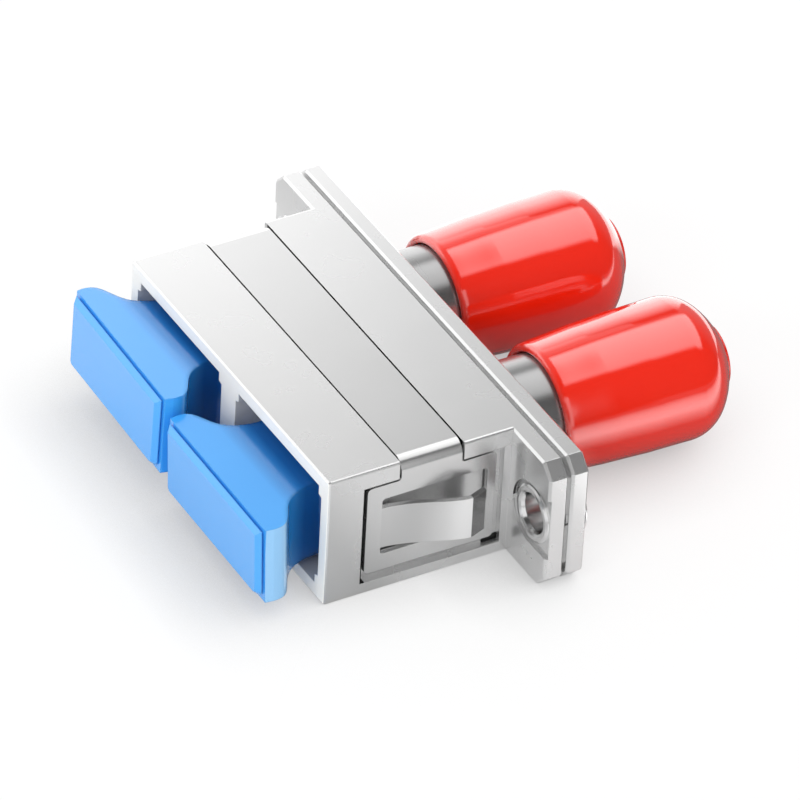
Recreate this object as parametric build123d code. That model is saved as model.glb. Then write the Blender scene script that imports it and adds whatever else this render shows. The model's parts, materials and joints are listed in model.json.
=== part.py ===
from build123d import *
import math
import os

os.makedirs("parts", exist_ok=True)

# Frame: X = 0 is the flange's mounting face, +X runs from the SC side to the ST side,
# Y runs across the two channels, +Z is up and Z = 0 is half-way up the body. Millimetres.

# Driving sizes
CHANNEL_PITCH = 12.7
BODY_WIDTH = 2 * CHANNEL_PITCH
BODY_HEIGHT = 9.35
BODY_LENGTH = 12.72
HALF_WIDTH = BODY_WIDTH / 2
HALF_HEIGHT = BODY_HEIGHT / 2
FRONT_X = -BODY_LENGTH
CHANNELS = {"left": CHANNEL_PITCH / 2, "right": -CHANNEL_PITCH / 2}
LONG_EDGE_R = 0.2
FRONT_EDGE = 0.12
PAST = 1.0

# Flange of two plates with a narrow gap round its edge
FLANGE_WIDTH = 34.8
FLANGE_CORNER = 0.93
FRONT_PLATE = 1.33
PLATE_GAP = 0.25
GAP_INSET = 0.5
REAR_PLATE = 1.19
PLATE_EDGE = 0.16
PAD_X = FRONT_PLATE
REAR_PLATE_X = PAD_X + PLATE_GAP
REAR_FACE_X = REAR_PLATE_X + REAR_PLATE

# Mounting holes, lined with hollow rivets
HOLE_SPACING = 30.8
HOLE_R = 1.55
RIVET_BORE_R = 1.27
RIVET_TUBE_R = 1.5
EAR_POCKET_DEPTH = 0.2
EAR_POCKET_R = 2.2
# Rivet rim: distance from the pocket floor (outward is negative) and radius
RIVET_RIM = [(0, 1.93), (-0.1, 1.92), (-0.2, 1.76), (-0.2, 1.53), (-0.1, 1.37), (0.15, RIVET_BORE_R)]

# SC ports
PORT_WIDTH = 10.9
PORT_HEIGHT = 7.41
PORT_CORNER_STEP = 0.35
PORT_CORNER_HEIGHT = 0.72
PORT_CORNER_SLOPE = 0.1
KEYWAY_WIDTH = 4.0
KEYWAY_DEPTH = 0.6
KEYWAY_LENGTH = 7.0
SEAT_WIDTH = 11.5
SEAT_HEIGHT = 7.9
SEAT_X = -1.1

# Channel over the top and recesses in the sides that take the clip, and how far they overlap
BAND_X = (-7.69, -3.44)
BAND_GAP = 0.12
CHANNEL_DEPTH = 0.37
RECESS_DEPTH = 0.5
RECESS_X = (-10.26, -0.48)
RECESS_Z = (-3.84, 3.4)
BED_OVERLAP = 0.5

# Spring clip, one folded sheet
SHEET = 0.35
CLIP_SINK = 0.01
CLIP_BEND_R = 0.9
PANEL_X = (-9.98, -1.0)
PANEL_Z = (-3.2, 3.26)
PANEL_CORNER_R = 0.3
NECK_CORNER_R = 0.2
WINDOW_X = (-8.92, -1.57)
WINDOW_Z = (-1.98, 2.22)
WINDOW_CORNER_R = 0.22
TONGUE_Z = (-1.48, 1.53)
TONGUE_END_X = -2.22
TONGUE_END_RISE = 1.08
# Rise of the tongue above the panel along its length, from its root to the crest
TONGUE_RISE = [(-8.95, 0.0), (-8.1, 0.1), (-6.1, 0.7), (-3.85, 1.47)]
CREST = (-3.45, 1.53)

# ST posts
POST_R = 3.6
POST_LENGTH = 9.2
POST_TIP_X = REAR_FACE_X + POST_LENGTH
POST_BORE_R = 2.65
POST_CHAMFER = 0.3
LUG_R = 0.6
LUG_TIP_R = 3.85
LUG_FROM_TIP = 2.9
LUG_X = POST_TIP_X - LUG_FROM_TIP
POST_KEY_WIDTH = 1.2
POST_KEY_LENGTH = 4.5
HOLDER_SEAT_R = 3.15
HOLDER_SEAT_DEPTH = 0.95
POST_FLOOR = 0.8

# Alignment sleeves, split along one side
SLEEVE_BORE_R = 1.25
SLEEVE_R = 1.6
SLEEVE_LENGTH = 11.4
SLEEVE_SLIT = 0.5
SLEEVE_MID_X = 0.85
SLEEVE_X = (SLEEVE_MID_X - SLEEVE_LENGTH / 2, SLEEVE_MID_X + SLEEVE_LENGTH / 2)
FIT = 0.05
SLEEVE_PLAY = 0.15
FERRULE_HOLE_R = 1.32
END_LIP = 0.5

# Moulded holders that keep the sleeves and carry the SC latches
LATCH_TUBE_R = 2.0
ARM_TIP_X = -8.42
ARM_INNER = 4.75
ARM_OUTER = 5.2
ARM_HALF_HEIGHT = 2.2
HOOK_TIP = 4.5
HOOK_LENGTH = 1.1
HOOK_NOSE = 0.5
HOOK_NOSE_EDGE = 0.1
SEAT_CORNER_R = 0.3
ROOT_OVERLAP = 0.5
HOLDER_TUBE_R = 2.1
HOLDER_FLANGE_R = 3.1
HOLDER_FLANGE = 0.9

# Dust plugs of the SC ports: distance from the plate's front, and half width there
PLUG_FLANK = [(0.4, 6.33), (0.75, 6.32), (1.08, 6.24), (1.38, 6.04), (1.62, 5.74), (1.85, 5.35),
              (2.05, 4.97), (2.3, 4.58), (2.6, 4.24), (2.95, 3.98), (3.4, 3.76), (4.0, 3.58), (5.0, 3.48)]
# Shift of that curve on the left (1) and on the right (-1), where the lip is a little thicker
PLUG_LIP_SHIFT = {1: -0.05, -1: 0.15}
PLUG_FRONT_HALF = 6.25
PLUG_HEIGHT = 5.54
PLUG_BODY_HALF = 4.1
PLUG_BODY_START = 6.0
PLUG_BODY_CORNER = 0.5
PLUG_DEPTH = 6.8
PLUG_BORE_R = 2.1
PLUG_BORE_DEPTH = 5.0
PANEL_RISE = 0.45
PANEL_INSET = 0.22
PANEL_BEVEL = 0.32
PANEL_LOW_R = 0.6
GROOVE_DEPTH = 0.11
GROOVE_INSET = 0.4
# How each loose plug sits: plate front ahead of the body, shift in Y and Z, degrees about X, Y and Z
PLUG_SEAT = {
    "left": (3.92, (0.5, 0.49), (-0.8, 2.1, -2.3)),
    "right": (4.02, (0.09, -0.43), (-0.2, -2.0, -0.8)),
}

# Dust caps of the ST posts: a side flared in a long arc, a round shoulder and a domed end with a lens
CAP_MOUTH_X = {"left": 5.34, "right": 5.48}
CAP_FLARE_R = 103.4
CAP_FLARE_STEPS = 3
CAP_LIP_R = 0.38
CAP_LIP_STEPS = 4
CAP_SHOULDER = (9.65, 4.63)
CAP_SHOULDER_R = 2.58
CAP_DOME_ANGLE = 44.3
CAP_LENS_R = 2.2
CAP_LENS_X = 13.27
CAP_LENS_ROUND = 4.91
CAP_LENS_EDGE = 0.08
CAP_BORE_R = POST_R + FIT
# The bore's end keeps the wall even: distance from the mouth and radius
CAP_BORE_END = [(CAP_SHOULDER[0], CAP_BORE_R), (10.75, 3.2), (11.6, 2.2)]
CAP_MOUTH_BEVEL = 0.12
CAP_GROOVE_WIDTH = 1.5
CAP_GROOVE_R = 3.92
CAP_GROOVE_END_X = LUG_X + LUG_R + 0.5


def block(x, y, z):
    """Box between two values on each axis."""
    size = [b - a for a, b in (x, y, z)]
    middle = [(a + b) / 2 for a, b in (x, y, z)]
    return Pos(*middle) * Box(*size)


def rod(r, x0, x1, y=0.0, z=0.0):
    """Round bar along X."""
    return Pos((x0 + x1) / 2, y, z) * Rot(0, 90, 0) * Cylinder(r, x1 - x0)


def prism_x(points, x0, x1):
    """Closed YZ outline carried from x0 to x1."""
    section = Plane.YZ.offset(x0) * make_face(Polyline(*points, close=True))
    return extrude(section, x1 - x0)


def flange_plate(x0, x1, inset=0.0):
    half_w = FLANGE_WIDTH / 2 - inset
    half_h = HALF_HEIGHT - inset
    plate = block((x0, x1), (-half_w, half_w), (-half_h, half_h))
    return chamfer(plate.edges().filter_by(Axis.X), FLANGE_CORNER)


def bevelled_plate(x0, x1):
    plate = flange_plate(x0, x1)
    rims = plate.faces().sort_by(Axis.X)[0].edges() + plate.faces().sort_by(Axis.X)[-1].edges()
    return chamfer(rims, PLATE_EDGE)


def hole_pair(r, x0, x1):
    return [rod(r, x0, x1, side * HOLE_SPACING / 2) for side in (-1, 1)]


def port_outline(y):
    """SC port section, each corner stepped inward for the connector's edges."""
    w, h = PORT_WIDTH / 2, PORT_HEIGHT / 2
    step = w - PORT_CORNER_STEP
    low = h - PORT_CORNER_HEIGHT
    high = low + PORT_CORNER_SLOPE
    quarter = [(w, low), (step, high), (step, h)]
    upper = quarter + [(-a, b) for a, b in reversed(quarter)]
    return [(y + a, b) for a, b in upper + [(-a, -b) for a, b in upper]]


def port_cut(y):
    cut = prism_x(port_outline(y), FRONT_X - PAST, FRONT_PLATE + PAST)
    half_w, half_h = SEAT_WIDTH / 2, SEAT_HEIGHT / 2
    cut += block((SEAT_X, FRONT_PLATE + PAST), (y - half_w, y + half_w), (-half_h, half_h))
    floor = -PORT_HEIGHT / 2
    cut += block(
        (FRONT_X - PAST, FRONT_X + KEYWAY_LENGTH),
        (y - KEYWAY_WIDTH / 2, y + KEYWAY_WIDTH / 2),
        (floor - KEYWAY_DEPTH, floor + PAST),
    )
    return cut


def clip_bed():
    """What the clip lies in: a channel over the top and a recess in each side."""
    channel_x = (BAND_X[0] - BAND_GAP, BAND_X[1] + BAND_GAP)
    inner_w, inner_h = HALF_WIDTH - CHANNEL_DEPTH, HALF_HEIGHT - CHANNEL_DEPTH
    core = block(channel_x, (-inner_w, inner_w), (-HALF_HEIGHT, inner_h))
    top_edges = core.edges().filter_by(Axis.X).group_by(Axis.Z)[-1]
    core = fillet(top_edges, CLIP_BEND_R - CHANNEL_DEPTH)
    low = RECESS_Z[1] - BED_OVERLAP
    across = (-HALF_WIDTH - PAST, HALF_WIDTH + PAST)
    bed = block(channel_x, across, (low, HALF_HEIGHT + PAST)) - core
    for side in (-1, 1):
        wall = sorted((side * (HALF_WIDTH - RECESS_DEPTH), side * (HALF_WIDTH + PAST)))
        bed += block(RECESS_X, wall, RECESS_Z)
    return bed


def ear_pocket(side):
    centre = side * HOLE_SPACING / 2
    end = side * (FLANGE_WIDTH / 2 + PAST)
    pocket = rod(EAR_POCKET_R, -PAST, EAR_POCKET_DEPTH, centre)
    return pocket + block(
        (-PAST, EAR_POCKET_DEPTH), sorted((centre, end)), (-EAR_POCKET_R, EAR_POCKET_R)
    )


# SC half: ports, clip bed and the front plate in one casting
def sc_housing():
    body = block((FRONT_X, FRONT_PLATE / 2), (-HALF_WIDTH, HALF_WIDTH), (-HALF_HEIGHT, HALF_HEIGHT))
    body = fillet(body.edges().filter_by(Axis.X), LONG_EDGE_R)
    body = chamfer(body.faces().sort_by(Axis.X)[0].edges(), FRONT_EDGE)
    shell = body + bevelled_plate(0, FRONT_PLATE)
    shell -= clip_bed()
    for y in CHANNELS.values():
        shell -= port_cut(y)
    for side in (-1, 1):
        shell -= ear_pocket(side)
    shell -= hole_pair(HOLE_R, -PAST, FRONT_PLATE + PAST)
    return shell


# ST half: rear plate with both bayonet posts in one casting
def st_housing():
    shell = bevelled_plate(REAR_PLATE_X, REAR_FACE_X)
    shell += flange_plate(PAD_X, REAR_PLATE_X, GAP_INSET)
    for y in CHANNELS.values():
        post = rod(POST_R, REAR_PLATE_X, POST_TIP_X, y)
        post = chamfer(post.edges().sort_by(Axis.X)[-1], POST_CHAMFER)
        lug = Pos(LUG_X, y, 0) * Rot(90, 0, 0) * Cylinder(LUG_R, 2 * LUG_TIP_R)
        shell += post + lug
        floor_x = PAD_X + HOLDER_SEAT_DEPTH
        shell -= rod(HOLDER_SEAT_R, PAD_X - PAST, floor_x, y)
        shell -= rod(HOLDER_TUBE_R + FIT, PAD_X, POST_TIP_X, y)
        shell -= rod(POST_BORE_R, floor_x + POST_FLOOR, POST_TIP_X + PAST, y)
        shell -= block(
            (POST_TIP_X - POST_KEY_LENGTH, POST_TIP_X + PAST),
            (y - POST_KEY_WIDTH / 2, y + POST_KEY_WIDTH / 2),
            (0, POST_R + PAST),
        )
    shell -= hole_pair(HOLE_R, PAD_X - PAST, REAR_FACE_X + PAST)
    return shell


def tongue(side):
    """Latch tongue: rises from its root to a crest, then turns back to its free end."""
    def curve(sink):
        return [(x, side * (HALF_WIDTH - CLIP_SINK - sink + rise)) for x, rise in TONGUE_RISE]

    outer, inner = curve(0), curve(SHEET)
    crest_out = (CREST[0], side * (HALF_WIDTH - CLIP_SINK + CREST[1]))
    crest_in = (CREST[0], side * (HALF_WIDTH - CLIP_SINK + CREST[1] - SHEET))
    end = HALF_WIDTH - CLIP_SINK + TONGUE_END_RISE
    end_out, end_in = (TONGUE_END_X, side * end), (TONGUE_END_X, side * (end - SHEET))
    edges = Spline(*outer, crest_out) + Line(crest_out, end_out) + Line(end_out, end_in)
    edges += Line(end_in, crest_in) + Spline(crest_in, *reversed(inner)) + Line(inner[0], outer[0])
    return extrude(Plane.XY.offset(TONGUE_Z[0]) * make_face(edges), TONGUE_Z[1] - TONGUE_Z[0])


# Clip: one sheet over the top and down both sides, a tongue cut free in each side
def spring_clip():
    half_w, top = HALF_WIDTH - CLIP_SINK, HALF_HEIGHT - CLIP_SINK
    outside = block(PANEL_X, (-half_w, half_w), (PANEL_Z[0], top))
    outside = fillet(outside.edges().filter_by(Axis.X).group_by(Axis.Z)[-1], CLIP_BEND_R)
    inside = block(PANEL_X, (-half_w + SHEET, half_w - SHEET), (PANEL_Z[0] - PAST, top - SHEET))
    inside = fillet(inside.edges().filter_by(Axis.X).group_by(Axis.Z)[-1], CLIP_BEND_R - SHEET)
    sheet = outside - inside
    for band_edge, end in ((BAND_X[0], PANEL_X[0] - PAST), (BAND_X[1], PANEL_X[1] + PAST)):
        across = (-half_w - PAST, half_w + PAST)
        notch = block(sorted((band_edge, end)), across, (PANEL_Z[1], top + PAST))
        root = notch.edges().filter_by(Axis.Y).filter_by_position(Axis.X, band_edge, band_edge)
        sheet -= fillet(root.sort_by(Axis.Z)[0], NECK_CORNER_R)
    for side in (-1, 1):
        through = sorted((side * (half_w - PAST), side * (half_w + PAST)))
        window = block(WINDOW_X, through, WINDOW_Z)
        sheet -= fillet(window.edges().filter_by(Axis.Y), WINDOW_CORNER_R)
        sheet += tongue(side)
    thin = sheet.edges().filter_by(Axis.Y).filter_by(lambda edge: edge.length < 2 * SHEET)
    return fillet(thin.group_by(Axis.X)[0] + thin.group_by(Axis.X)[-1], PANEL_CORNER_R)


# Hollow rivets that hold the two halves together and line the mounting holes
def rivet(y):
    front, rear = EAR_POCKET_DEPTH, REAR_FACE_X
    half = [(front, RIVET_TUBE_R)] + [(front + out, r) for out, r in RIVET_RIM]
    mirror = [(front + rear - x, r) for x, r in reversed(half)]
    return Pos(0, y, 0) * revolve(make_face(Polyline(*half, *mirror, close=True)), Axis.X)


# SC latch holders: seat flange, sleeve tube and two hooked arms in one moulding
def latch_holder(y):
    half_w, half_h = SEAT_WIDTH / 2 - FIT, SEAT_HEIGHT / 2 - FIT
    piece = block((SEAT_X, PAD_X), (-half_w, half_w), (-half_h, half_h))
    piece = fillet(piece.edges().filter_by(Axis.X), SEAT_CORNER_R)
    tube_x = SLEEVE_X[0] - SLEEVE_PLAY - END_LIP
    root_x = SEAT_X + ROOT_OVERLAP
    piece += rod(LATCH_TUBE_R, tube_x, root_x)
    for side in (-1, 1):
        arm = [
            (ARM_TIP_X, side * HOOK_TIP), (ARM_TIP_X + HOOK_LENGTH, side * HOOK_TIP),
            (ARM_TIP_X + HOOK_LENGTH, side * ARM_INNER), (root_x, side * ARM_INNER),
            (root_x, side * ARM_OUTER), (ARM_TIP_X - HOOK_NOSE, side * ARM_OUTER),
            (ARM_TIP_X - HOOK_NOSE, side * (ARM_INNER + HOOK_NOSE_EDGE)),
        ]
        section = Plane.XY.offset(-ARM_HALF_HEIGHT) * make_face(Polyline(*arm, close=True))
        piece += extrude(section, 2 * ARM_HALF_HEIGHT)
    piece -= rod(SLEEVE_R + FIT, SLEEVE_X[0] - SLEEVE_PLAY, PAD_X + PAST)
    piece -= rod(FERRULE_HOLE_R, tube_x - PAST, PAD_X + PAST)
    return Pos(0, y, 0) * piece


# Sleeve holders of the ST side: a flange under the plate and a tube up the post
def st_holder(y):
    tip_x = SLEEVE_X[1] + SLEEVE_PLAY + END_LIP
    piece = rod(HOLDER_FLANGE_R, PAD_X, PAD_X + HOLDER_FLANGE) + rod(HOLDER_TUBE_R, PAD_X, tip_x)
    piece -= rod(SLEEVE_R + FIT, PAD_X - PAST, SLEEVE_X[1] + SLEEVE_PLAY)
    piece -= rod(FERRULE_HOLE_R, PAD_X, tip_x + PAST)
    return Pos(0, y, 0) * piece


def sleeve(y):
    beyond = (SLEEVE_X[0] - PAST, SLEEVE_X[1] + PAST)
    slit = block(beyond, (-SLEEVE_SLIT / 2, SLEEVE_SLIT / 2), (-SLEEVE_R - PAST, 0))
    return Pos(0, y, 0) * (rod(SLEEVE_R, *SLEEVE_X) - rod(SLEEVE_BORE_R, *beyond) - slit)


# Dust plugs: a wide finger plate that narrows in a curve into the port
def dust_plug(y, seat):
    ahead, (shift_y, shift_z), turn = seat
    length = ahead + PLUG_DEPTH
    body_half = PLUG_BODY_HALF
    left, right = [[(x + PLUG_LIP_SHIFT[side], side * h) for x, h in PLUG_FLANK] for side in (1, -1)]
    shoulder = [(PLUG_BODY_START, body_half), (length - PLUG_BODY_CORNER, body_half),
                (length, body_half - PLUG_BODY_CORNER)]
    shoulder += [(x, -h) for x, h in reversed(shoulder)]
    edges = Polyline(right[0], (0, -PLUG_FRONT_HALF), (0, PLUG_FRONT_HALF), left[0])
    edges += Spline(*left) + Polyline(left[-1], *shoulder, right[-1]) + Spline(*reversed(right))
    half = PLUG_HEIGHT / 2
    piece = extrude(Plane.XY.offset(-half) * make_face(edges), PLUG_HEIGHT)
    groove_w, groove_h = PLUG_FRONT_HALF - GROOVE_INSET, half - GROOVE_INSET
    piece += block((-GROOVE_DEPTH, GROOVE_DEPTH), (-groove_w, groove_w), (-groove_h, groove_h))
    panel_w, panel_h = PLUG_FRONT_HALF - PANEL_INSET, half - PANEL_INSET
    panel = block((-PANEL_RISE, -GROOVE_DEPTH), (-panel_w, panel_w), (-panel_h, panel_h))
    panel = fillet(panel.edges().filter_by(Axis.X).group_by(Axis.Z)[0], PANEL_LOW_R)
    piece += chamfer(panel.faces().sort_by(Axis.X)[0].edges(), PANEL_BEVEL)
    piece -= rod(PLUG_BORE_R, length - PLUG_BORE_DEPTH, length + PAST)
    return Pos(FRONT_X - ahead, y + shift_y, shift_z) * Rot(*turn) * piece


def arc_points(x, r, radius, first, last, steps):
    """Points on an arc round (x, r); the angles are in radians, upward from the -X direction."""
    turns = [first + (last - first) * step / steps for step in range(steps + 1)]
    return [(x - radius * math.cos(turn), r + radius * math.sin(turn)) for turn in turns]


def cap_outside():
    """Lip and side in short steps, then the shoulder's and the dome's arcs, turned about X."""
    x, r = CAP_SHOULDER
    upright = math.radians(90)
    flare_turn = math.acos((x - CAP_LIP_R) / CAP_FLARE_R)
    side = arc_points(x, r - CAP_FLARE_R, CAP_FLARE_R, flare_turn, upright, CAP_FLARE_STEPS)
    lip = arc_points(CAP_LIP_R, side[0][1] - CAP_LIP_R, CAP_LIP_R, 0, upright, CAP_LIP_STEPS)
    centre_r = r - CAP_SHOULDER_R
    angle = math.radians(CAP_DOME_ANGLE)
    dome = centre_r / math.sin(angle) + CAP_SHOULDER_R
    dome_x = x - centre_r / math.tan(angle)
    edges = Polyline((0, 0), *lip, *side[1:])
    edges += CenterArc((x, centre_r), CAP_SHOULDER_R, CAP_DOME_ANGLE, 90 - CAP_DOME_ANGLE)
    edges += CenterArc((dome_x, 0), dome, 0, CAP_DOME_ANGLE)
    edges += Line((dome_x + dome, 0), (0, 0))
    return revolve(make_face(edges), Axis.X)


# Dust caps: soft moulded cups, closed by a dome with a low lens in its middle
def dust_cap(y, mouth_x):
    outside = cap_outside()
    lens = rod(CAP_LENS_R, CAP_SHOULDER[0], CAP_LENS_X)
    lens &= Pos(CAP_LENS_X - CAP_LENS_ROUND, 0, 0) * Sphere(CAP_LENS_ROUND)
    outside += chamfer(lens.edges().filter_by(GeomType.CIRCLE).sort_by(Axis.X)[-1], CAP_LENS_EDGE)
    section = [(-PAST, 0), (-PAST, CAP_BORE_R), *CAP_BORE_END, (CAP_BORE_END[-1][0], 0)]
    bore = revolve(make_face(Polyline(*section, close=True)), Axis.X)
    piece = outside - bore
    piece = chamfer(piece.faces().sort_by(Axis.X)[0].inner_wires()[0].edges(), CAP_MOUTH_BEVEL)
    piece -= block(
        (-PAST, CAP_GROOVE_END_X - mouth_x),
        (-CAP_GROOVE_R, CAP_GROOVE_R),
        (-CAP_GROOVE_WIDTH / 2, CAP_GROOVE_WIDTH / 2),
    )
    return Pos(mouth_x, y, 0) * piece


def pieces():
    yield "sc_housing", sc_housing()
    yield "st_housing", st_housing()
    yield "spring_clip", spring_clip()
    for side, y in CHANNELS.items():
        yield f"rivet_{side}", rivet(math.copysign(HOLE_SPACING / 2, y))
        yield f"latch_holder_{side}", latch_holder(y)
        yield f"st_holder_{side}", st_holder(y)
        yield f"sleeve_{side}", sleeve(y)
        yield f"dust_plug_{side}", dust_plug(y, PLUG_SEAT[side])
        yield f"dust_cap_{side}", dust_cap(y, CAP_MOUTH_X[side])


for name, shape in pieces():
    export_step(shape, f"parts/{name}.step")
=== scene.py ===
import json
import math

import bmesh
import bpy
from mathutils import Matrix, Quaternion, Vector


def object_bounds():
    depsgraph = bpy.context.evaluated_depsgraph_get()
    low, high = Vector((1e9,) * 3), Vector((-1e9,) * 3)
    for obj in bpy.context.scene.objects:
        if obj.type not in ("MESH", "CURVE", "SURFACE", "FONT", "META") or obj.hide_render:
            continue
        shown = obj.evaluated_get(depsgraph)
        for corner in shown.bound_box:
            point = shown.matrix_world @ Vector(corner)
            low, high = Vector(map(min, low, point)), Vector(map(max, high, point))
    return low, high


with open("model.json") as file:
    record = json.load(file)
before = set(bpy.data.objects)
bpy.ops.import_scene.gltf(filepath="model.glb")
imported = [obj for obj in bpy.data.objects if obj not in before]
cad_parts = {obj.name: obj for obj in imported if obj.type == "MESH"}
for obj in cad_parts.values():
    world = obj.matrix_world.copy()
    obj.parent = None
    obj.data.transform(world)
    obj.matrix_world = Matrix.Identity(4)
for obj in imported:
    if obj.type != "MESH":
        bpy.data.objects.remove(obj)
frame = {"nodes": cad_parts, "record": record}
cad_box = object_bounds()

# Units: metres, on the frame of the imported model. +X runs from the SC ports to the ST posts, +Z is up.
MM = 0.001
WHITE = (1.0, 1.0, 1.0, 1.0)
BLACK = (0.0, 0.0, 0.0, 1.0)

# Camera, fitted to the straight edges of the body and the flange
CAMERA_AZIMUTH = -31.09
CAMERA_ELEVATION = 36.857
CAMERA_ROLL = 3.166
CAMERA_DISTANCE = 0.6352
CAMERA_TARGET = Vector((-0.001556, -0.001844, 0.0))
CAMERA_LENS = 463.05
CAMERA_SENSOR = 36.0
CAMERA_CLIP = (0.05, 20.0)

# Studio floor: shade for light that bounces, then shade and glow for the camera
FLOOR_HALF = 3.0
FLOOR_ROUGHNESS = 0.9
FLOOR_SHADE = 0.88
FLOOR_SHADE_MIRRORED = 0.8
FLOOR_SHADE_SEEN = 0.22
FLOOR_GLOW_SEEN = 0.78
# Soft neutral shadow close to the object: reach, strength, and the direction the light leans
SHADOW_REACH = 0.006
SHADOW_STRENGTH = 0.6
SHADOW_LEAN = (0.6, -0.5, 1.0)
SHADOW_SAMPLES = 4
# In reflections the floor carries a painted shadow beneath and beyond the caps and fades out far in front
FLOOR_CAPS_X = (0.006, 0.009)
FLOOR_CAPS_Y = (-0.019, -0.0125)
FLOOR_BEHIND_Y = (0.009, 0.014)
FLOOR_FADE_CAPS = (-0.06, -0.021)
FLOOR_FADE_BODY = (-0.1, -0.045)
FLOOR_CAPS_GLOW = 0.75
FLOOR_CAPS_LEAST = 0.12
# A stretch of it with painted shadow, dimmer in reflections, which the body's side shows at its front end
FLOOR_DIM_START = (-0.018, -0.013)
FLOOR_DIM_END = (-0.009, -0.0045)
FLOOR_DIM = 0.36

# Room: even light all round, and what gloss and metal see of it, dark in front and paler behind
ROOM_LIGHT = 0.92
ROOM_SEEN = (0.05, 0.35)
ROOM_SEEN_Y = (-0.2, 0.6)

# Overhead panel: direction as seen from the object, distance, size along and across the part
PANEL_DIRECTION = Vector((0.63, 0.05, 1.0))
PANEL_DISTANCE = 0.45
PANEL_SIZE = (0.26, 0.52)
# Its glow at the front and at the back edge, and how far its soft border reaches
PANEL_GLOW = (1.1, 1.9)
PANEL_BORDER = 0.12

# Fill from the front left, which reflections don't show
FILL_DIRECTION = Vector((-0.8, -0.5, 0.4))
FILL_DISTANCE = 0.5
FILL_SIZE = (0.3, 0.3)
FILL_POWER = 1.5

# White card behind the object, which only reflections show: Y, X from and to, height
BACK_CARD = (0.09, (-0.3, 0.1), 0.13)
# It is tall behind the body and low behind the caps: glow below and above, and heights of the change
TALL_GLOW = (1.45, 0.45)
TALL_FADE = (0.062, 0.104)
LOW_GLOW = (1.7, 0.05)
LOW_FADE = (0.034, 0.098)
# The tall part ends along a slanting line: its X at the foot and its run per unit of height
TALL_END = (0.0, 0.68)

# White card in front, also for reflections alone; it ends along a slanting line too
FRONT_CARD = (-0.1, (-0.3, 0.045), 0.1)
FRONT_GLOW = 0.8
FRONT_END = (0.032, 0.1)

# Places on the object are in millimetres from here on, with Y taken without its sign.
# Casting: front face and posts along X, and the ports' insides along X, Y and Z
FRONT_FACE_X = (-12.8, -12.69)
POSTS_X = (2.9, 14.0)
PORTS = ((-12.69, 1.0), (0.5, 12.0), (-4.4, 3.9))
# Its narrow gaps, which get painted shade: before the clip's side, at the lower corner behind it, and beside
# the clip's band
CLIP_GAP = ((-10.3, -9.9), (12.1, 12.69), (-3.9, 3.45))
CLIP_CORNER = ((-1.5, -0.4), (12.1, 12.3), (-3.9, -3.45))
BAND_GAP = ((-7.9, -3.2), (0.0, 12.4), (4.0, 4.65))
# The upper half of the gap round each rivet's rim, which gets a painted shadow: place, and radius from and
# to
RIVET_GAP = ((0.01, 0.19), (0.0, 20.0), (0.0, 3.0))
RIVET_GAP_RADIUS = (2.0, 2.3)
# Mounting holes: Y of the axis and radius that holds the rivet's bore
HOLE_Y = 15.4
RIVET_BORE_RADIUS = 1.28
# Clip: the band over the top, the height of the cut edges beside it that carry painted seam shade, and the
# tongue's stretches for its painted highlight and painted shade
BAND_X = (-7.68, -3.45)
CUT_EDGE_Z = (3.4, 4.6)
TONGUE_RAISED_Y = 12.72
TONGUE_RISE_X = (-6.6, -4.0)
TONGUE_HIGHLIGHT_X = (-9.0, -3.42)
TONGUE_TAIL_X = (-3.42, -2.3)
# Dust plug: front lip along X and Y, where its soft edges begin and where painted shade darkens it towards
# the port
LIP_X = (-16.86, -14.5)
LIP_Y = (9.0, 14.0)
PLUG_SOFT_X = -15.4
PLUG_SHADE_X = (-14.6, -12.7)
# Least share of the normal along Y on a face that counts as a side
SIDE_SHARE = 0.3

# Metals: shade from and to, roughness, metallic share, radius of the soft edges in millimetres
CASTING = {"shades": (0.82, 0.86), "roughness": 0.27, "metallic": 0.88, "edge": 0.07}
SHEET = {"shades": (0.76, 0.8), "roughness": 0.25, "metallic": 0.92, "edge": 0.05}
RIVET = {"shades": (0.9, 0.94), "roughness": 0.2, "metallic": 1.0, "edge": 0.04}
METAL_CLOUDS = 260.0
METAL_GRAIN = 2500.0
METAL_GRAIN_DETAIL = 1.0
METAL_GRAIN_HEIGHT = 0.0000002
ROUGHNESS_CHANGE = 0.02
# Painted light: a warm white for the matt front face, standing in for even light on it and offsetting the
# blue light bounced from the plugs
FRONT_FACE_PAINTED_LIGHT = (0.99, 0.97, 0.92, 1.0)
# Painted shade inside the ports
PORT_PAINTED_SHADE = 0.66
# Painted shade on the posts, which tones down the lamp's reflection in them
POST_PAINTED_SHADE = 0.42
# Painted shade in the narrow gaps and in the upper half of the gap round each rivet
GAP_PAINTED_SHADE = 0.05
# Painted shade on the sheet's cut edges beside the band, along its seams
CUT_EDGE_PAINTED_SHADE = 0.1
# Painted highlight that grows towards each tongue's crest
TONGUE_PAINTED_HIGHLIGHT = 0.98
# Painted shade on each tongue's tail
TAIL_PAINTED_SHADE = 0.3
# Painted shade in the rivet's bore
BORE_PAINTED_SHADE = 0.6

# Plastics and bronze: colours from and to, size of the pattern, gloss
HOLDER_COLOURS = ((0.80, 0.80, 0.78, 1.0), (0.84, 0.84, 0.82, 1.0))
HOLDER_GRAIN = 4000.0
HOLDER_ROUGHNESS = 0.5
BRONZE_COLOURS = ((0.68, 0.46, 0.24, 1.0), (0.76, 0.54, 0.31, 1.0))
BRONZE_LINES = 600.0
BRONZE_STRETCH = (1.0, 30.0, 30.0)
BRONZE_ROUGHNESS = 0.25
PLASTIC_CLOUDS = 200.0
BLUE_COLOURS = ((0.045, 0.375, 0.93, 1.0), (0.055, 0.405, 0.96, 1.0))
# Painted shade that darkens the plug towards the port
BLUE_PAINTED_SHADE = (0.01, 0.13, 0.45, 1.0)
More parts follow.
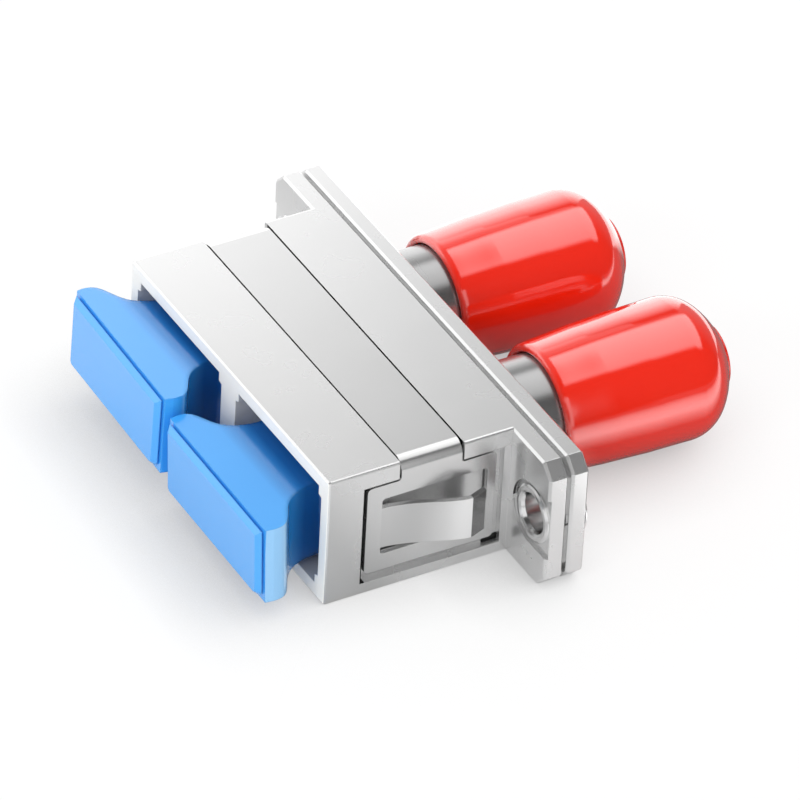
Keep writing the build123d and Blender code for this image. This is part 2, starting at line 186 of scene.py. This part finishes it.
# Painted highlight on the sides of the plug's front lip
BLUE_LIP_PAINTED_HIGHLIGHT = (0.3, 0.62, 0.98, 1.0)
BLUE_ROUGHNESS = (0.2, 0.26)
BLUE_COAT_ROUGHNESS = 0.12
RED_COLOURS = ((0.97, 0.018, 0.004, 1.0), (0.99, 0.024, 0.006, 1.0))
RED_ROUGHNESS = (0.09, 0.12)
RED_IOR = 1.7
RED_COAT_IOR = 1.9
RED_COAT_ROUGHNESS = 0.06
# Radius of the soft edges in millimetres
PLUG_CRISP_EDGE = 0.1
PLUG_SOFT_EDGE = 0.45
CAP_EDGE = 0.2
EDGE_SAMPLES = 6


def principled(name):
    """New material with a Principled BSDF; returns the material, its node tree and the shader node."""
    material = bpy.data.materials.new(name)
    material.use_nodes = True
    tree = material.node_tree
    shader = tree.nodes["Principled BSDF"]
    return material, tree, shader


def grey(shade):
    return (shade, shade, shade, 1.0)


def coordinates(tree, kind="Object"):
    """X, Y and Z of the object's own coordinates, or of the generated ones."""
    texture = tree.nodes.new("ShaderNodeTexCoord")
    axes = tree.nodes.new("ShaderNodeSeparateXYZ")
    tree.links.new(texture.outputs[kind], axes.inputs["Vector"])
    return axes.outputs["X"], axes.outputs["Y"], axes.outputs["Z"]


def noise(tree, scale, detail=3.0, stretch=(1.0, 1.0, 1.0)):
    """Noise on the object's own coordinates, which a Mapping node can stretch."""
    texture = tree.nodes.new("ShaderNodeTexCoord")
    mapping = tree.nodes.new("ShaderNodeMapping")
    mapping.inputs["Scale"].default_value = stretch
    tree.links.new(texture.outputs["Object"], mapping.inputs["Vector"])
    node = tree.nodes.new("ShaderNodeTexNoise")
    node.inputs["Scale"].default_value = scale
    node.inputs["Detail"].default_value = detail
    tree.links.new(mapping.outputs["Vector"], node.inputs["Vector"])
    return node.outputs["Fac"]


def spread(tree, value, low, high, from_low=0.0, from_high=1.0):
    """Remaps a value, held between its two limits, to the range low to high."""
    node = tree.nodes.new("ShaderNodeMapRange")
    node.inputs["From Min"].default_value = from_low
    node.inputs["From Max"].default_value = from_high
    node.inputs["To Min"].default_value = low
    node.inputs["To Max"].default_value = high
    tree.links.new(value, node.inputs["Value"])
    return node.outputs["Result"]


def blend_colours(tree, factor, first, second):
    """Mix of two colours; the first is a socket or a colour."""
    node = tree.nodes.new("ShaderNodeMix")
    node.data_type = "RGBA"
    if isinstance(first, tuple):
        node.inputs["A"].default_value = first
    else:
        tree.links.new(first, node.inputs["A"])
    node.inputs["B"].default_value = second
    tree.links.new(factor, node.inputs["Factor"])
    return node.outputs["Result"]


def calculate(tree, operation, first, second=0.0):
    """Math node; each operand is a socket or a number."""
    node = tree.nodes.new("ShaderNodeMath")
    node.operation = operation
    for socket, value in zip(node.inputs, (first, second)):
        if isinstance(value, (int, float)):
            socket.default_value = value
        else:
            tree.links.new(value, socket)
    return node.outputs["Value"]


def product(tree, *values):
    """All values multiplied together."""
    result = values[0]
    for value in values[1:]:
        result = calculate(tree, "MULTIPLY", result, value)
    return result


def reverse(tree, value):
    """1 where a mask is 0, and 0 where it is 1."""
    return calculate(tree, "SUBTRACT", 1.0, value)


def choose(tree, switch, off, on):
    """One value where the switch is 0 and another where it is 1."""
    kept = product(tree, reverse(tree, switch), off)
    return calculate(tree, "ADD", kept, product(tree, switch, on))


def within(tree, value, low, high):
    """1 where a value in metres lies between two limits in millimetres, 0 elsewhere."""
    above = calculate(tree, "GREATER_THAN", value, low * MM)
    below = calculate(tree, "LESS_THAN", value, high * MM)
    return product(tree, above, below)


def within_box(tree, places, limits):
    """1 inside a box, given by its limits along each axis in millimetres."""
    return product(tree, *[within(tree, value, *pair) for value, pair in zip(places, limits)])


def part_places(tree):
    """X, Y without its sign, and Z of the object's own coordinates."""
    x, y, z = coordinates(tree)
    return x, calculate(tree, "ABSOLUTE", y), z


def hole_distance(tree, y, z):
    """Distance from the axis of the nearer mounting hole."""
    across = calculate(tree, "SUBTRACT", y, HOLE_Y * MM)
    squares = [product(tree, value, value) for value in (across, z)]
    return calculate(tree, "SQRT", calculate(tree, "ADD", *squares))


def rounded_edges(tree, radius):
    """Normal that shades edges as if they were round; the radius is a socket, or a number in millimetres."""
    node = tree.nodes.new("ShaderNodeBevel")
    node.samples = EDGE_SAMPLES
    if isinstance(radius, float):
        node.inputs["Radius"].default_value = radius * MM
    else:
        tree.links.new(radius, node.inputs["Radius"])
    return node.outputs["Normal"]


def bump(tree, height, distance, normal):
    node = tree.nodes.new("ShaderNodeBump")
    node.inputs["Distance"].default_value = distance
    tree.links.new(height, node.inputs["Height"])
    tree.links.new(normal, node.inputs["Normal"])
    return node.outputs["Normal"]


def recolour(tree, shader, mask, colour):
    """Changes the base colour to another one as far as the mask says, from 0 to 1."""
    current = shader.inputs["Base Color"].links[0].from_socket
    tree.links.new(blend_colours(tree, mask, current, colour), shader.inputs["Base Color"])


def plated_metal(name, shades, roughness, metallic, edge):
    """Metal with a faint slow change of shade and gloss, an even fine grain and soft edges."""
    material, tree, shader = principled(name)
    clouds = noise(tree, METAL_CLOUDS)
    grain = noise(tree, METAL_GRAIN, METAL_GRAIN_DETAIL)
    shade = blend_colours(tree, clouds, *[grey(level) for level in shades])
    gloss = spread(tree, clouds, roughness - ROUGHNESS_CHANGE, roughness + ROUGHNESS_CHANGE)
    normal = bump(tree, grain, METAL_GRAIN_HEIGHT, rounded_edges(tree, edge))
    shader.inputs["Metallic"].default_value = metallic
    tree.links.new(shade, shader.inputs["Base Color"])
    tree.links.new(gloss, shader.inputs["Roughness"])
    tree.links.new(normal, shader.inputs["Normal"])
    return material, tree, shader


def casting_nickel():
    """Satin plate; painted light makes the matt front face a warm white, and painted shade darkens the matt
    ports, the posts and the narrow gaps.
    """
    material, tree, shader = plated_metal("satin nickel plate", **CASTING)
    x, y, z = part_places(tree)
    front = within(tree, x, *FRONT_FACE_X)
    ports = within_box(tree, (x, y, z), PORTS)
    posts = within(tree, x, *POSTS_X)
    ring = within(tree, hole_distance(tree, y, z), *RIVET_GAP_RADIUS)
    dark = product(tree, ring, within_box(tree, (x, y, z), RIVET_GAP))
    for limits in (CLIP_GAP, CLIP_CORNER, BAND_GAP):
        dark = calculate(tree, "MAXIMUM", dark, within_box(tree, (x, y, z), limits))
    # Painted light on the front face
    recolour(tree, shader, front, FRONT_FACE_PAINTED_LIGHT)
    # Painted shade inside the ports
    recolour(tree, shader, ports, grey(PORT_PAINTED_SHADE))
    # Painted shade on the posts
    recolour(tree, shader, posts, grey(POST_PAINTED_SHADE))
    # Painted shade in the narrow gaps and the upper rivet gap
    recolour(tree, shader, dark, grey(GAP_PAINTED_SHADE))
    dull = calculate(tree, "MAXIMUM", front, ports)
    tree.links.new(spread(tree, dull, CASTING["metallic"], 0.0), shader.inputs["Metallic"])
    return material


def clip_steel():
    """Rolled sheet with painted shade on its cut edges beside the band, a painted highlight towards each
    tongue's crest and painted shade on the tongue's tail.
    """
    material, tree, shader = plated_metal("rolled spring sheet", **SHEET)
    x, y, z = part_places(tree)
    beside = reverse(tree, within(tree, x, *BAND_X))
    edges = product(tree, beside, within(tree, z, *CUT_EDGE_Z))
    raised = calculate(tree, "GREATER_THAN", y, TONGUE_RAISED_Y * MM)
    rising = spread(tree, x, 0.0, 1.0, *[place * MM for place in TONGUE_RISE_X])
    painted_highlight = product(tree, rising, raised, within(tree, x, *TONGUE_HIGHLIGHT_X))
    tail = product(tree, raised, within(tree, x, *TONGUE_TAIL_X))
    # Painted shade on the cut edges beside the band
    recolour(tree, shader, edges, grey(CUT_EDGE_PAINTED_SHADE))
    # Painted highlight towards the tongue's crest
    recolour(tree, shader, painted_highlight, grey(TONGUE_PAINTED_HIGHLIGHT))
    # Painted shade on the tongue's tail
    recolour(tree, shader, tail, grey(TAIL_PAINTED_SHADE))
    return material


def rivet_nickel():
    """Polished rim with painted shade in the bore."""
    material, tree, shader = plated_metal("polished nickel", **RIVET)
    x, y, z = part_places(tree)
    bore = within(tree, hole_distance(tree, y, z), 0.0, RIVET_BORE_RADIUS)
    # Painted shade in the bore
    recolour(tree, shader, bore, grey(BORE_PAINTED_SHADE))
    return material


def holder_plastic():
    """Pale matt plastic with a fine grain."""
    material, tree, shader = principled("moulded holder plastic")
    shade = blend_colours(tree, noise(tree, HOLDER_GRAIN), *HOLDER_COLOURS)
    tree.links.new(shade, shader.inputs["Base Color"])
    shader.inputs["Roughness"].default_value = HOLDER_ROUGHNESS
    return material


def sleeve_bronze():
    """Bronze with fine lines along the drawn tube."""
    material, tree, shader = principled("drawn bronze tube")
    lines = noise(tree, BRONZE_LINES, stretch=BRONZE_STRETCH)
    tree.links.new(blend_colours(tree, lines, *BRONZE_COLOURS), shader.inputs["Base Color"])
    shader.inputs["Metallic"].default_value = 1.0
    shader.inputs["Roughness"].default_value = BRONZE_ROUGHNESS
    return material


def glossy_plastic(name, colours, roughness, coat_roughness):
    """Moulded plastic with a clear coat and a faint slow change of colour and gloss."""
    material, tree, shader = principled(name)
    clouds = noise(tree, PLASTIC_CLOUDS)
    tree.links.new(blend_colours(tree, clouds, *colours), shader.inputs["Base Color"])
    tree.links.new(spread(tree, clouds, *roughness), shader.inputs["Roughness"])
    shader.inputs["Coat Weight"].default_value = 1.0
    shader.inputs["Coat Roughness"].default_value = coat_roughness
    return material, tree, shader


def facing_sideways(tree):
    """1 on faces that look along Y rather than up or forward."""
    geometry = tree.nodes.new("ShaderNodeNewGeometry")
    facing = tree.nodes.new("ShaderNodeSeparateXYZ")
    tree.links.new(geometry.outputs["True Normal"], facing.inputs["Vector"])
    share = calculate(tree, "ABSOLUTE", facing.outputs["Y"])
    return calculate(tree, "GREATER_THAN", share, SIDE_SHARE)


def blue_plastic():
    """Blue of the plugs: a painted highlight on the sides of the front lip, painted shade and softer edges
    towards the port.
    """
    material, tree, shader = glossy_plastic(
        "glossy blue moulding", BLUE_COLOURS, BLUE_ROUGHNESS, BLUE_COAT_ROUGHNESS)
    x, y, z = part_places(tree)
    painted_port_shade = spread(tree, x, 0.0, 1.0, *[place * MM for place in PLUG_SHADE_X])
    lip = product(tree, within(tree, x, *LIP_X), within(tree, y, *LIP_Y), facing_sideways(tree))
    # Painted shade towards the port
    recolour(tree, shader, painted_port_shade, BLUE_PAINTED_SHADE)
    # Painted highlight on the sides of the front lip
    recolour(tree, shader, lip, BLUE_LIP_PAINTED_HIGHLIGHT)
    soft = calculate(tree, "GREATER_THAN", x, PLUG_SOFT_X * MM)
    radius = spread(tree, soft, PLUG_CRISP_EDGE * MM, PLUG_SOFT_EDGE * MM)
    tree.links.new(rounded_edges(tree, radius), shader.inputs["Normal"])
    return material


def red_vinyl():
    """Red of the caps, with soft edges in the vinyl and in its gloss."""
    material, tree, shader = glossy_plastic(
        "glossy red vinyl", RED_COLOURS, RED_ROUGHNESS, RED_COAT_ROUGHNESS)
    shader.inputs["IOR"].default_value = RED_IOR
    shader.inputs["Coat IOR"].default_value = RED_COAT_IOR
    tree.links.new(rounded_edges(tree, CAP_EDGE), shader.inputs["Normal"])
    tree.links.new(rounded_edges(tree, CAP_EDGE), shader.inputs["Coat Normal"])
    return material


def dress_frame():
    """Gives every CAD node its finish."""
    finishes = {
        "satin_nickel": casting_nickel(),
        "spring_steel": clip_steel(),
        "polished_nickel": rivet_nickel(),
        "holder_plastic": holder_plastic(),
        "bronze": sleeve_bronze(),
        "blue_plastic": blue_plastic(),
        "red_vinyl": red_vinyl(),
    }
    for part in frame["record"]["subparts"]:
        node = frame["nodes"][part["node"]]
        node.data.materials.clear()
        node.data.materials.append(finishes[part["material_slot"]])


def add_flat(name, size, turn, place):
    """Rectangle of the given size, turned and moved to its place."""
    mesh = bpy.data.meshes.new(name)
    shape = bmesh.new()
    bmesh.ops.create_grid(shape, x_segments=1, y_segments=1, size=0.5)
    bmesh.ops.scale(shape, verts=shape.verts, vec=(*size, 1.0))
    bmesh.ops.rotate(shape, verts=shape.verts, matrix=turn)
    bmesh.ops.translate(shape, verts=shape.verts, vec=place)
    shape.to_mesh(mesh)
    shape.free()
    item = bpy.data.objects.new(name, mesh)
    bpy.context.scene.collection.objects.link(item)
    return item


def glowing_black(item):
    """Black material that only glows; returns its node tree and the socket for the glow."""
    material, tree, shader = principled(item.name)
    shader.inputs["Base Color"].default_value = BLACK
    shader.inputs["Emission Color"].default_value = WHITE
    item.data.materials.append(material)
    return tree, shader.inputs["Emission Strength"]


def floor_in_mirrors(tree, x, y):
    """What reflections see of the floor, from 0 to 1: all of it, and how much of it near the caps."""
    # Painted shadow in reflections: darker beneath the caps and along a stretch in front of the body
    ahead = spread(tree, y, 1.0, 0.0, *FLOOR_CAPS_Y)
    behind = spread(tree, y, 0.0, 1.0, *FLOOR_BEHIND_Y)
    far = spread(tree, y, 0.0, 1.0, *FLOOR_FADE_CAPS)
    caps = calculate(tree, "MAXIMUM", product(tree, ahead, far), behind)
    caps = calculate(tree, "MAXIMUM", caps, FLOOR_CAPS_LEAST)
    start = spread(tree, x, 0.0, FLOOR_DIM, *FLOOR_DIM_START)
    end = spread(tree, x, FLOOR_DIM, 0.0, *FLOOR_DIM_END)
    bright = reverse(tree, calculate(tree, "MINIMUM", start, end))
    body = product(tree, spread(tree, y, 0.0, 1.0, *FLOOR_FADE_BODY), bright)
    return choose(tree, spread(tree, x, 0.0, 1.0, *FLOOR_CAPS_X), body, caps), caps


def soft_shadow(tree):
    """1 on the open floor and less close to the object."""
    near = tree.nodes.new("ShaderNodeAmbientOcclusion")
    near.samples = SHADOW_SAMPLES
    near.inputs["Distance"].default_value = SHADOW_REACH
    direction = tree.nodes.new("ShaderNodeCombineXYZ")
    for socket, value in zip(direction.inputs, Vector(SHADOW_LEAN).normalized()):
        socket.default_value = value
    tree.links.new(direction.outputs["Vector"], near.inputs["Normal"])
    hidden = reverse(tree, near.outputs["AO"])
    return reverse(tree, product(tree, hidden, SHADOW_STRENGTH))


def add_floor():
    """White floor whose shade and glow differ for the camera, for reflections and for bounced light."""
    size = (2 * FLOOR_HALF, 2 * FLOOR_HALF)
    floor = add_flat("floor", size, Matrix.Identity(3), (0, 0, cad_box[0].z))
    material, tree, shader = principled("white studio floor")
    shader.inputs["Roughness"].default_value = FLOOR_ROUGHNESS
    shader.inputs["Specular IOR Level"].default_value = 0.0
    shader.inputs["Emission Color"].default_value = WHITE
    rays = tree.nodes.new("ShaderNodeLightPath")
    x, y, z = coordinates(tree)
    share, caps = floor_in_mirrors(tree, x, y)
    mirrored = product(tree, share, FLOOR_SHADE_MIRRORED)
    shade = choose(tree, rays.outputs["Is Glossy Ray"], FLOOR_SHADE, mirrored)
    shade = choose(tree, rays.outputs["Is Camera Ray"], shade, FLOOR_SHADE_SEEN)
    seen = product(tree, rays.outputs["Is Camera Ray"], soft_shadow(tree), FLOOR_GLOW_SEEN)
    beside = product(tree, spread(tree, x, 0.0, FLOOR_CAPS_GLOW, *FLOOR_CAPS_X), caps)
    gloss = product(tree, rays.outputs["Is Glossy Ray"], beside)
    tree.links.new(shade, shader.inputs["Base Color"])
    tree.links.new(calculate(tree, "ADD", seen, gloss), shader.inputs["Emission Strength"])
    floor.data.materials.append(material)


def add_world():
    """White to the camera, an even light on the object, and a darker room in its reflections."""
    world = bpy.data.worlds.new("studio")
    bpy.context.scene.world = world
    world.use_nodes = True
    tree = world.node_tree
    x, y, z = coordinates(tree, "Generated")
    rays = tree.nodes.new("ShaderNodeLightPath")
    seen = product(tree, spread(tree, y, *ROOM_SEEN, *ROOM_SEEN_Y), rays.outputs["Is Glossy Ray"])
    lit = product(tree, rays.outputs["Is Diffuse Ray"], ROOM_LIGHT)
    strength = calculate(tree, "MAXIMUM", seen, lit)
    strength = calculate(tree, "MAXIMUM", strength, rays.outputs["Is Camera Ray"])
    background = tree.nodes["Background"]
    background.inputs["Color"].default_value = WHITE
    tree.links.new(strength, background.inputs["Strength"])


def add_card(name, y, across, height):
    """Upright card that only reflections show; returns what its glow needs."""
    size = (across[1] - across[0], height)
    upright = Matrix.Rotation(math.radians(90), 3, "X")
    card = add_flat(name, size, upright, (sum(across) / 2, y, cad_box[0].z + height / 2))
    card.visible_diffuse = False
    card.visible_camera = False
    tree, strength = glowing_black(card)
    x, y, z = coordinates(tree)
    return tree, strength, x, z


def before_line(tree, x, z, start, run):
    """1 on the near side of a slanting line, 0 beyond it."""
    limit = calculate(tree, "ADD", product(tree, z, run), start)
    return calculate(tree, "LESS_THAN", x, limit)


def add_cards():
    """Cards behind and in front of the object, for its reflections."""
    tree, strength, x, z = add_card("back card", *BACK_CARD)
    tall = spread(tree, z, *TALL_GLOW, *TALL_FADE)
    low = spread(tree, z, *LOW_GLOW, *LOW_FADE)
    tree.links.new(choose(tree, before_line(tree, x, z, *TALL_END), low, tall), strength)
    tree, strength, x, z = add_card("front card", *FRONT_CARD)
    tree.links.new(product(tree, before_line(tree, x, z, *FRONT_END), FRONT_GLOW), strength)


def add_overhead_panel():
    """Glowing panel over the object, brighter at the back, with a soft border."""
    away = PANEL_DIRECTION.normalized()
    tilt = Vector((0, 0, 1)).rotation_difference(away).to_matrix()
    panel = add_flat("overhead panel", PANEL_SIZE, tilt, away * PANEL_DISTANCE)
    panel.visible_camera = False
    tree, strength = glowing_black(panel)
    x, y, z = coordinates(tree, "Generated")
    glow = spread(tree, y, *PANEL_GLOW)
    for place in (x, y):
        from_middle = calculate(tree, "ABSOLUTE", calculate(tree, "SUBTRACT", place, 0.5))
        glow = product(tree, glow, spread(tree, from_middle, 1.0, 0.0, 0.5 - PANEL_BORDER, 0.5))
    tree.links.new(glow, strength)


def aim(item, target):
    """Turns a lamp or a camera towards a point."""
    item.rotation_mode = "QUATERNION"
    item.rotation_quaternion = (target - item.location).to_track_quat("-Z", "Y")


def add_fill():
    """Soft lamp that lifts the front left."""
    lamp = bpy.data.lights.new("fill", "AREA")
    lamp.shape = "RECTANGLE"
    lamp.size, lamp.size_y = FILL_SIZE
    lamp.energy = FILL_POWER
    fill = bpy.data.objects.new("fill", lamp)
    bpy.context.scene.collection.objects.link(fill)
    fill.location = FILL_DIRECTION.normalized() * FILL_DISTANCE
    aim(fill, Vector((0, 0, 0)))
    fill.visible_glossy = False


def add_camera():
    """Camera at the photograph's viewing angle."""
    lens = bpy.data.cameras.new("photo camera")
    lens.lens = CAMERA_LENS
    lens.sensor_width = CAMERA_SENSOR
    lens.clip_start, lens.clip_end = CAMERA_CLIP
    camera = bpy.data.objects.new("photo camera", lens)
    bpy.context.scene.collection.objects.link(camera)
    turn, tilt = math.radians(CAMERA_AZIMUTH), math.radians(CAMERA_ELEVATION)
    back = Vector((math.sin(turn) * math.cos(tilt), -math.cos(turn) * math.cos(tilt), math.sin(tilt)))
    camera.location = CAMERA_TARGET + back * CAMERA_DISTANCE
    aim(camera, CAMERA_TARGET)
    camera.rotation_quaternion @= Quaternion((0, 0, 1), math.radians(CAMERA_ROLL))
    bpy.context.scene.camera = camera


bpy.context.scene.view_settings.view_transform = "Standard"
dress_frame()
add_floor()
add_world()
add_overhead_panel()
add_cards()
add_fill()
add_camera()
